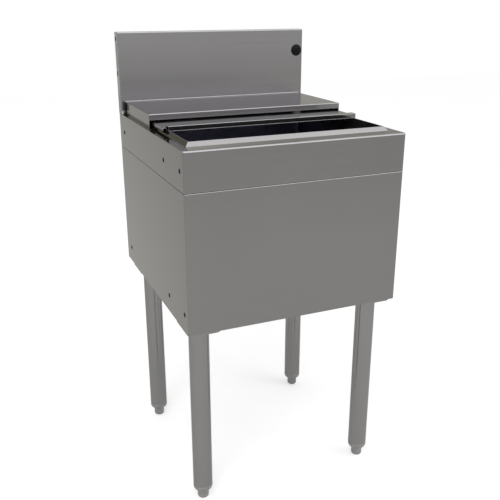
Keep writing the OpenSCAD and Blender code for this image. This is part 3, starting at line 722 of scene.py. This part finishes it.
def coverPlate(look):
    half, bend, drop, near = look["halfWidth"], look["bend"], look["flange"], look["tolerance"]
    plateTop = look["low"] + drop
    notch = look["noseHalf"] + look["notch"]
    noseBack = look["noseFront"] + look["noseDepth"]
    wingFront = noseBack - look["wingLap"]
    plateFront = noseBack - look["sheet"] / 2
    sides = roundPath(
        [(-half, -drop), (-half, 0, bend), (half, 0, bend), (half, -drop)], look["bendSteps"], False
    )
    marks = [-notch, -look["noseHalf"], look["noseHalf"], notch]
    columns = sorted(
        [(p.x, p.y) for p in sides] + [(m, 0.0) for m in marks],
        key=lambda c: (c[0], c[1] if c[0] < 0 else -c[1]),
    )
    rear = look["rear"]
    rearEdge = roundPath(
        [(plateFront, 0), (rear, 0, look["rearBend"]), (rear, -look["rearFlange"])], look["bendSteps"], False
    )
    corner, steps = look["flangeCorner"], look["cornerSteps"]
    rows = [
        (wingFront + corner * (1 - math.cos(math.pi / 2 * k / steps)), 0.0) for k in range(steps + 1)
    ]
    rows = sorted(rows + [(p.x, p.y) for p in rearEdge], key=lambda r: (r[0], -r[1]))
    bm = bmesh.new()
    grid = []
    for y, dropY in rows:
        line = []
        for x, dropX in columns:
            z = dropX + dropY
            nearFront = y - wingFront
            if dropX < near - drop and nearFront < corner:
                z = -drop + corner - math.sqrt(corner ** 2 - (corner - nearFront) ** 2)
            line.append(bm.verts.new((x, y, plateTop + z)))
        grid.append(line)
    for j in range(len(rows) - 1):
        for i in range(len(columns) - 1):
            midX = (columns[i][0] + columns[i + 1][0]) / 2
            midY = (rows[j][0] + rows[j + 1][0]) / 2
            inNotch = abs(midX) < notch and midY < plateFront
            folded = min(rows[j][1], rows[j + 1][1]) < -near
            if inNotch or (folded and abs(midX) > look["noseHalf"]):
                continue
            bm.faces.new((grid[j][i], grid[j][i + 1], grid[j + 1][i + 1], grid[j + 1][i]))
    bmesh.ops.delete(bm, geom=[v for v in bm.verts if not v.link_faces], context="VERTS")
    toMetres(bm)
    plate = meshOf("coverPlate", bm)
    finishPiece("coverPlate", plate, "front_cover", bevel=look["easing"], thickness=look["sheet"])


def coverNose(look):
    # A roll with a flat face and a round back, and the hem that stands out along its lower edge
    half, lap, steps, front = look["noseHalf"], look["hemLap"], look["noseSteps"], look["noseFront"]
    face, back = front + lap, front + look["noseDepth"]
    top, low = look["noseTop"], look["noseTop"] - look["noseHeight"]
    loops = []
    for inset in (0, look["sheet"]):
        turn, curl = max(look["noseRoll"] - inset, look["leastRoll"]), look["noseCurl"] - inset
        loops.append(roundPath([
            (face + inset, low + inset, turn), (back - inset, low + inset, curl),
            (back - inset, top - inset, curl), (face + inset, top - inset, turn),
        ], steps))
    drawRun("coverNose", "front_cover", loops, half, bevel=look["noseEasing"], finish=rollFinish)
    hem, reach = look["hem"], front + look["hemLaps"] * lap
    turn = hem * look["hemRound"]
    hemLoop = roundPath(
        [(front, low, turn), (reach, low), (reach, low + hem), (front, low + hem, turn)], look["hemSteps"]
    )
    drawRun("coverHem", "front_cover", [hemLoop], half, finish=rollFinish)


coverPlate(frontCover)
coverNose(frontCover)


# Feet: turned bullet feet on threaded stems

print("feet")
footLook = {
    "sides": 56, "smooth": 35,
    "tipFlat": 6.8, "tipRound": 5.4, "tipSteps": 8,
    "shank": 12.2, "shoulder": 20.65, "shoulderStart": 21.55, "shoulderSteps": 10,
    "band": 30.0, "height": 34.0, "ease": 0.5, "easeSteps": 3,
    "stem": 8.0, "stemTop": 76.0, "stemRound": 1.2,
    "pitch": 2.0, "threadDepth": 0.9, "threadSteps": 20, "threadStart": 2.5, "threadStop": 2.0,
    "threadLift": 0.05, "ridgeShare": 0.94, "ridgeSides": 6,
}


def legAxis(corner):
    low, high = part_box("foot_" + corner)
    middle = (low + high) / (2 * mm)
    return middle.x, middle.y


legAxes = {corner: legAxis(corner) for corner in legCorners}


def threadTree():
    tree, given = newTree("stemThread", {
        "Turns": "size", "Steps": "count", "Root Radius": "size", "Length": "size",
        "Ridge": "size", "Ridge Sides": "count", "Place": "place",
    })
    helix = addNode(tree, "GeometryNodeCurveSpiral", {
        "Resolution": given["Steps"], "Rotations": given["Turns"], "Start Radius": given["Root Radius"],
        "End Radius": given["Root Radius"], "Height": given["Length"],
    })
    wound = addNode(tree, "GeometryNodeCurveToMesh", {
        "Curve": helix.outputs[0], "Profile Curve": circleNode(tree, given["Ridge Sides"], given["Ridge"]),
        "Fill Caps": True,
    })
    values = {"Geometry": wound.outputs[0], "Translation": given["Place"]}
    laid = addNode(tree, "GeometryNodeTransform", values)
    return closeTree(tree, given, laid.outputs[0])


def footProfile(look, root):
    shank, shoulder, band, height = look["shank"], look["shoulder"], look["band"], look["height"]
    profile = [Vector((0, 0))] + roundPath(
        [(look["tipFlat"], 0), (shank, 0, look["tipRound"]), (shank, look["shoulderStart"])],
        look["tipSteps"], False,
    )
    swell, steps = shoulder - shank, look["shoulderSteps"]
    for k in range(1, steps + 1):
        angle = math.pi / 2 * k / steps
        profile.append(Vector((shank + swell * math.sin(angle), band - swell * math.cos(angle))))
    stemTop, steps = look["stemTop"], look["easeSteps"]
    profile += roundPath(
        [(shoulder, band), (shoulder, height, look["ease"]), (root, height)], steps, False
    )[1:]
    profile += roundPath([(root, height), (root, stemTop, look["stemRound"]), (0, stemTop)], steps, False)[1:]
    return [(p.x, p.y) for p in profile]


def bulletFoot(corner, look, tree):
    x, y = legAxes[corner]
    root = look["stem"] - look["threadDepth"]
    bm = bmesh.new()
    lathe(bm, footProfile(look, root), look["sides"])
    toMetres(bm, Matrix.Translation((x, y, 0)))
    start = look["height"] + look["threadStart"]
    length = look["stemTop"] - look["threadStop"] - start
    thread = growMesh("thread", tree, {
        "Turns": length / look["pitch"], "Steps": look["threadSteps"], "Length": length * mm,
        "Root Radius": (root + look["threadLift"]) * mm,
        "Ridge": look["threadDepth"] * look["ridgeShare"] * mm, "Ridge Sides": look["ridgeSides"],
        "Place": Vector((x, y, start)) * mm, "Finish": finishOf("foot_" + corner),
    })
    bm.from_mesh(thread)
    bmesh.ops.recalc_face_normals(bm, faces=bm.faces)
    name = "bulletFoot" + cornerName(corner)
    finishPiece(name, meshOf(name, bm), "foot_" + corner, smooth=look["smooth"])


stemTree = threadTree()
for corner in legCorners:
    bulletFoot(corner, footLook, stemTree)


# Plugs in the sides

print("plugs and fasteners")
sidePlug = {
    "sides": 28, "radius": 4.75, "dome": 1.2, "rim": 0.35, "domeSteps": 6,
    "shank": 3.95, "neck": 1.3, "barb": 4.35, "barbDrop": 1.6, "taper": 0.35, "length": 4.0,
    "rows": (-217.5, -117.0, 197.0), "heights": (729.0, 451.0),
}


def sidePlugMesh(look):
    radius, dome, rim, shank = look["radius"], look["dome"], look["rim"], look["shank"]
    profile = [(0, dome)]
    for k in range(1, look["domeSteps"] + 1):
        share = k / look["domeSteps"]
        profile.append((radius * share, rim + (dome - rim) * (1 - share ** 2)))
    profile += [
        (radius, 0.0), (shank, 0.0), (shank, -look["neck"]), (look["barb"], -look["barbDrop"]),
        (shank - look["taper"], -look["length"]), (0, -look["length"]),
    ]
    bm = bmesh.new()
    lathe(bm, profile, look["sides"])
    return solidMesh("sidePlug", bm)


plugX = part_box("side_panel_right")[1].x / mm
for side, sign in (("left", -1), ("right", 1)):
    plugPlaces = [(sign * plugX, y, z) for y in sidePlug["rows"] for z in sidePlug["heights"]]
    plugTurn = (0, sign * math.pi / 2, 0)
    repeatPart("sidePlugs" + side.title(), sidePlugMesh(sidePlug), plugPlaces, "side_plugs_" + side, plugTurn)


# Hose plug with its field of moulded dots

plugLow, plugHigh = [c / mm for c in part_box("hose_plug")]
hosePlug = {
    "x": (plugLow.x + plugHigh.x) / 2, "front": plugLow.y, "z": (plugLow.z + plugHigh.z) / 2,
    "sides": 56, "radius": 13.5, "edge": 1.2, "height": 3.4, "rimRound": 0.5, "rimShare": 0.55,
    "domeSteps": 8, "shank": 9.9, "taper": 0.6, "bore": 7.6, "depth": 6.0, "floor": 0.4,
    "dotField": 8.6, "dotRows": 7, "dotGap": 2.6, "dotRadius": 0.75, "dotShape": (1.0, 1.0, 0.5),
    "dotSteps": 2, "dotSink": 0.35, "capSmooth": 40, "dotSmooth": 60,
}


def dotTree():
    tree, given = newTree("plugDots", {
        "Field Radius": "size", "Field Width": "size", "Rows": "count", "Dot Radius": "size",
        "Dot Steps": "count", "Dot Shape": "place", "Dome": "size", "Place": "place",
    })
    grid = addNode(tree, "GeometryNodeMeshGrid", {
        "Size X": given["Field Width"], "Size Y": given["Field Width"],
        "Vertices X": given["Rows"], "Vertices Y": given["Rows"],
    })
    place = addNode(tree, "GeometryNodeInputPosition").outputs[0]
    away = addNode(tree, "ShaderNodeVectorMath", {0: place}, operation="LENGTH").outputs["Value"]
    values = {0: away, 1: given["Field Radius"]}
    outside = addNode(tree, "FunctionNodeCompare", values, operation="GREATER_THAN")
    values = {"Geometry": grid.outputs[0], "Selection": outside.outputs[0]}
    inside = addNode(tree, "GeometryNodeDeleteGeometry", values, domain="POINT")
    # The field follows the cap's dome
    ratio = maths(tree, "DIVIDE", away, given["Field Radius"])
    sink = maths(tree, "MULTIPLY", maths(tree, "POWER", ratio, 2.0), given["Dome"])
    offset = addNode(tree, "ShaderNodeCombineXYZ", {"Z": maths(tree, "MULTIPLY", sink, -1.0)})
    values = {"Geometry": inside.outputs[0], "Offset": offset.outputs[0]}
    curved = addNode(tree, "GeometryNodeSetPosition", values)
    values = {"Radius": given["Dot Radius"], "Subdivisions": given["Dot Steps"]}
    dot = addNode(tree, "GeometryNodeMeshIcoSphere", values)
    copies = addNode(tree, "GeometryNodeInstanceOnPoints", {
        "Points": curved.outputs[0], "Instance": dot.outputs[0], "Scale": given["Dot Shape"],
    })
    laid = addNode(tree, "GeometryNodeTransform", {
        "Geometry": copies.outputs[0], "Rotation": (math.pi / 2, 0, 0), "Translation": given["Place"],
    })
    return closeTree(tree, given, laid.outputs[0])


def hoseCap(look):
    radius, height, edge, shank = look["radius"], look["height"], look["edge"], look["shank"]
    domeRadius, depth = radius - look["rimRound"], look["depth"]
    profile = [(0, height)]
    for k in range(1, look["domeSteps"] + 1):
        share = k / look["domeSteps"]
        profile.append((domeRadius * share, edge + (height - edge) * (1 - share ** 2)))
    profile += [
        (radius, edge * look["rimShare"]), (radius, 0), (shank, 0), (shank, look["taper"] - depth),
        (shank - look["taper"], -depth), (look["bore"], -depth), (look["bore"], -look["floor"]),
        (0, -look["floor"]),
    ]
    bm = bmesh.new()
    lathe(bm, profile, look["sides"])
    at = Matrix.Translation((look["x"], look["front"] + height, look["z"]))
    cap = solidMesh("hoseCap", bm, at @ Matrix.Rotation(math.pi / 2, 4, "X"))
    finishPiece("hosePlugCap", cap, "hose_plug", smooth=look["capSmooth"])


def hoseDots(look):
    # Dots stand on the dome, as high as the cap's own box allows
    share = look["dotField"] / (look["radius"] - look["rimRound"])
    dots = growMesh("hoseDots", dotTree(), {
        "Field Radius": look["dotField"] * mm, "Rows": look["dotRows"],
        "Field Width": look["dotGap"] * (look["dotRows"] - 1) * mm,
        "Dot Radius": look["dotRadius"] * mm, "Dot Steps": look["dotSteps"], "Dot Shape": look["dotShape"],
        "Dome": (look["height"] - look["edge"]) * share ** 2 * mm,
        "Place": Vector((look["x"], look["front"] + look["dotSink"], look["z"])) * mm, "Finish": dotFinish,
    })
    finishPiece("hosePlugDots", dots, "hose_plug", smooth=look["dotSmooth"], finish=dotFinish)


hoseCap(hosePlug)
hoseDots(hosePlug)


# Countersunk bolts and rivet nuts of the leg plates

plateBolt = {
    "low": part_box("plate_bolts")[0].z / mm, "offsets": (25.0, 35.0), "sides": 24, "smooth": 25,
    "head": 6.0, "headHeight": 3.0, "headEdge": 0.2, "shank": 3.0, "length": 18.5, "tip": 0.5,
    "socket": 4.0, "socketDepth": 2.0, "socketMouth": 0.4, "mouthDepth": 0.15,
}
rivetNut = {
    "low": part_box("plate_nuts")[0].z / mm, "sides": 24, "smooth": 25,
    "head": 5.5, "headHeight": 1.0, "body": 4.5, "bore": 3.05, "length": 10.0, "taper": 0.4,
}


def plateBoltMesh(look):
    head, shank, length, depth = look["head"], look["shank"], look["length"], look["socketDepth"]
    socket, mouth = hexagon(look["socket"]), hexagon(look["socket"] + look["socketMouth"])
    bm = bmesh.new()
    lathe(bm, [
        (0, depth), (socket, depth), (socket, look["mouthDepth"]), (mouth, 0),
        (head - look["headEdge"], 0), (head, look["headEdge"]), (shank, look["headHeight"]),
        (shank, length - look["tip"]), (shank - look["tip"], length), (0, length),
    ], look["sides"])
    return solidMesh("plateBolt", bm)


def rivetNutMesh(look):
    head, body, bore, length = look["head"], look["body"], look["bore"], look["length"]
    bm = bmesh.new()
    lathe(bm, [
        (bore, 0), (head, 0), (head, look["headHeight"]), (body, look["headHeight"]),
        (body, length - look["taper"]), (body - look["taper"], length), (bore, length),
    ], look["sides"], ring=True)
    return solidMesh("rivetNut", bm)


boltPlaces = [
    (x + i * plateBolt["offsets"][0], y + j * plateBolt["offsets"][1])
    for x, y in legAxes.values() for i in (-1, 1) for j in (-1, 1)
]
for pieceName, nodeName, partMesh, look in (
    ("plateBolts", "plate_bolts", plateBoltMesh(plateBolt), plateBolt),
    ("rivetNuts", "plate_nuts", rivetNutMesh(rivetNut), rivetNut),
):
    partPlaces = [(x, y, look["low"]) for x, y in boltPlaces]
    repeatPart(pieceName, partMesh, partPlaces, nodeName, smooth=look["smooth"])


# Drain strainer: a disc with three rings of holes

print("drain strainer")
strainerLow, strainerHigh = [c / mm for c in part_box("drain_strainer")]
strainerLook = {
    "at": (0, (strainerLow.y + strainerHigh.y) / 2, strainerLow.z), "sheet": 1.2, "easing": 0.15,
    "radius": (strainerHigh.x - strainerLow.x) / 2, "sides": 72,
    "hole": 2.0, "holeSides": 16, "screw": 2.1, "screwSides": 20,
    "rings": ((0.36, 6), (0.62, 12), (0.86, 18)),
}


def strainerTree(look):
    inputs = {
        "Radius": "size", "Sheet": "size", "Hole Radius": "size", "Screw Radius": "size", "Place": "place",
    }
    rings = range(1, len(look["rings"]) + 1)
    for k in rings:
        inputs[f"Ring {k} Radius"] = "size"
        inputs[f"Ring {k} Holes"] = "count"
    tree, given = newTree("strainerPlate", inputs)
    curves = [
        circleNode(tree, look["sides"], given["Radius"]),
        circleNode(tree, look["screwSides"], given["Screw Radius"]),
    ]
    hole = circleNode(tree, look["holeSides"], given["Hole Radius"])
    for k in rings:
        values = {"Vertices": given[f"Ring {k} Holes"], "Radius": given[f"Ring {k} Radius"]}
        ring = addNode(tree, "GeometryNodeMeshCircle", values)
        values = {"Points": ring.outputs[0], "Instance": hole}
        copies = addNode(tree, "GeometryNodeInstanceOnPoints", values)
        curves.append(addNode(tree, "GeometryNodeRealizeInstances", {0: copies.outputs[0]}).outputs[0])
    plate = plateFromCurves(tree, curves, given["Sheet"])
    laid = addNode(tree, "GeometryNodeTransform", {"Geometry": plate, "Translation": given["Place"]})
    return closeTree(tree, given, laid.outputs[0])


def drainStrainer(look):
    values = {
        "Radius": look["radius"] * mm, "Sheet": look["sheet"] * mm, "Hole Radius": look["hole"] * mm,
        "Screw Radius": look["screw"] * mm, "Place": Vector(look["at"]) * mm,
        "Finish": finishOf("drain_strainer"),
    }
    for k, (share, count) in enumerate(look["rings"], 1):
        values[f"Ring {k} Radius"] = share * look["radius"] * mm
        values[f"Ring {k} Holes"] = count
    mesh = growMesh("drainStrainer", strainerTree(look), values)
    finishPiece("drainStrainer", mesh, "drain_strainer", bevel=look["easing"])


drainStrainer(strainerLook)


# Floor, light and camera

print("floor, light and camera")
floorLook = {
    "size": 14.0,
    "dark": (0.8, 0.8, 0.8),
    "light": (0.82, 0.82, 0.82),
    "mottle": (3.0, 3.0, 3.0),
    "glow": 0.4,
    "mirrorGlow": 0.19,
}
# Each span is where the sky turns from one colour to the next, by the height or side that it looks to
skyLook = {
    "camera": (1.0, 1.0, 1.0),
    "fill": (0.72, 0.72, 0.72),
    "below": (1.0, 1.0, 1.0),
    "belowSpan": (0.0, 0.03),
    "frontLow": (1.68, 1.7, 1.99),
    "frontHigh": (4.6, 4.6, 5.0),
    "frontSpan": (0.25, 0.42),
    "horizonLeft": (1.0, 1.0, 0.95),
    "backLeft": (0.25, 0.25, 0.2),
    "leftSpan": (0.17, 0.22),
    "backRight": (0.58, 0.58, 0.56),
    "rightSpan": (-0.2, 0.35),
    "backHigh": (2.3, 2.3, 2.45),
    "backSpan": (0.42, 0.55),
    "roundSpan": (0.3, -0.3),
    "overhead": (2.5, 2.5, 2.6),
    "overheadSpan": (0.62, 0.7),
    "softBox": (4.3, 4.3, 4.6),
    "boxAim": (0.22, 0.14, 0.965),
    "boxSpan": (0.972, 0.993),
}
lamps = {
    "keyLamp": {"at": (-1.5, -2.0, 2.8), "size": 2.0, "watts": 35},
    "fillLamp": {"at": (2.0, -1.4, 2.2), "size": 2.0, "watts": 15},
}
lampAim = (0, 0, 0.6)
cameraLook = {
    "at": (-0.5741, -1.3530, 1.0091), "turn": 22.925, "dip": 19.897, "roll": -0.067,
    "lens": 49.40, "sensor": 36.0,
}


def mirrored(tree, path):
    return maths(tree, "MAXIMUM", path.outputs["Is Glossy Ray"], path.outputs["Is Transmission Ray"])


def makeFloor(look):
    half = look["size"] / 2
    mesh = bpy.data.meshes.new("studioFloor")
    corners = [(-half, -half, 0), (half, -half, 0), (half, half, 0), (-half, half, 0)]
    mesh.from_pydata(corners, [], [(0, 1, 2, 3)])
    floor = bpy.data.objects.new("studioFloor", mesh)
    scene.collection.objects.link(floor)
    material, tree, shader = newMaterial("paleFloor")
    mottle = noiseAt(tree, objectPlace(tree), look["mottle"])
    colour = mixColour(tree, mottle, look["dark"], look["light"])
    path = addNode(tree, "ShaderNodeLightPath")
    matte = addNode(tree, "ShaderNodeBsdfDiffuse", {"Color": colour})
    toCamera = maths(tree, "MULTIPLY", path.outputs["Is Camera Ray"], look["glow"])
    strength = maths(tree, "MULTIPLY_ADD", mirrored(tree, path), look["mirrorGlow"], toCamera)
    glow = addNode(tree, "ShaderNodeEmission", {"Strength": strength})
    both = addNode(tree, "ShaderNodeAddShader", {0: matte.outputs[0], 1: glow.outputs[0]})
    output = next(n for n in tree.nodes if n.type == "OUTPUT_MATERIAL")
    tree.nodes.remove(shader)
    tree.links.new(both.outputs[0], output.inputs["Surface"])
    mesh.materials.append(material)


def makeSky(look):
    # White to the camera, plain to matt surfaces, and soft boxes for gloss to mirror
    world = bpy.data.worlds.new("studioSky")
    scene.world = world
    world.use_nodes = True
    tree = world.node_tree
    tree.nodes.clear()
    way = addNode(tree, "ShaderNodeTexCoord").outputs["Generated"]
    x, y, z = addNode(tree, "ShaderNodeSeparateXYZ", {0: way}).outputs
    left = mixColour(tree, ease(tree, z, *look["leftSpan"]), look["horizonLeft"], look["backLeft"])
    low = mixColour(tree, ease(tree, x, *look["rightSpan"]), left, look["backRight"])
    back = mixColour(tree, ease(tree, z, *look["backSpan"]), low, look["backHigh"])
    front = mixColour(tree, ease(tree, z, *look["frontSpan"]), look["frontLow"], look["frontHigh"])
    around = mixColour(tree, ease(tree, y, *look["roundSpan"]), back, front)
    values = {0: way, 1: look["boxAim"]}
    aim = addNode(tree, "ShaderNodeVectorMath", values, operation="DOT_PRODUCT").outputs["Value"]
    ceiling = mixColour(tree, ease(tree, aim, *look["boxSpan"]), look["overhead"], look["softBox"])
    upper = mixColour(tree, ease(tree, z, *look["overheadSpan"]), around, ceiling)
    full = mixColour(tree, ease(tree, z, *look["belowSpan"]), look["below"], upper)
    path = addNode(tree, "ShaderNodeLightPath")
    lit = mixColour(tree, mirrored(tree, path), look["fill"], full)
    seen = mixColour(tree, path.outputs["Is Camera Ray"], lit, look["camera"])
    background = addNode(tree, "ShaderNodeBackground", {"Color": seen})
    addNode(tree, "ShaderNodeOutputWorld", {"Surface": background.outputs[0]})


def makeLamp(name, look):
    data = bpy.data.lights.new(name, "AREA")
    data.shape = "DISK"
    data.size = look["size"]
    data.energy = look["watts"]
    lamp = bpy.data.objects.new(name, data)
    lamp.location = look["at"]
    lamp.rotation_euler = (Vector(lampAim) - Vector(look["at"])).to_track_quat("-Z", "Y").to_euler()
    lamp.visible_glossy = False
    scene.collection.objects.link(lamp)


def makeCamera(look):
    data = bpy.data.cameras.new("photoCamera")
    data.lens = look["lens"]
    data.sensor_width = look["sensor"]
    camera = bpy.data.objects.new("photoCamera", data)
    turn = Matrix.Rotation(math.radians(-look["turn"]), 4, "Z")
    dip = Matrix.Rotation(math.radians(90 - look["dip"]), 4, "X")
    roll = Matrix.Rotation(math.radians(look["roll"]), 4, "Z")
    camera.matrix_world = Matrix.Translation(look["at"]) @ turn @ dip @ roll
    scene.collection.objects.link(camera)
    scene.camera = camera


makeFloor(floorLook)
makeSky(skyLook)
for lampName, lampLook in lamps.items():
    makeLamp(lampName, lampLook)
makeCamera(cameraLook)
scene.view_settings.view_transform = "Standard"
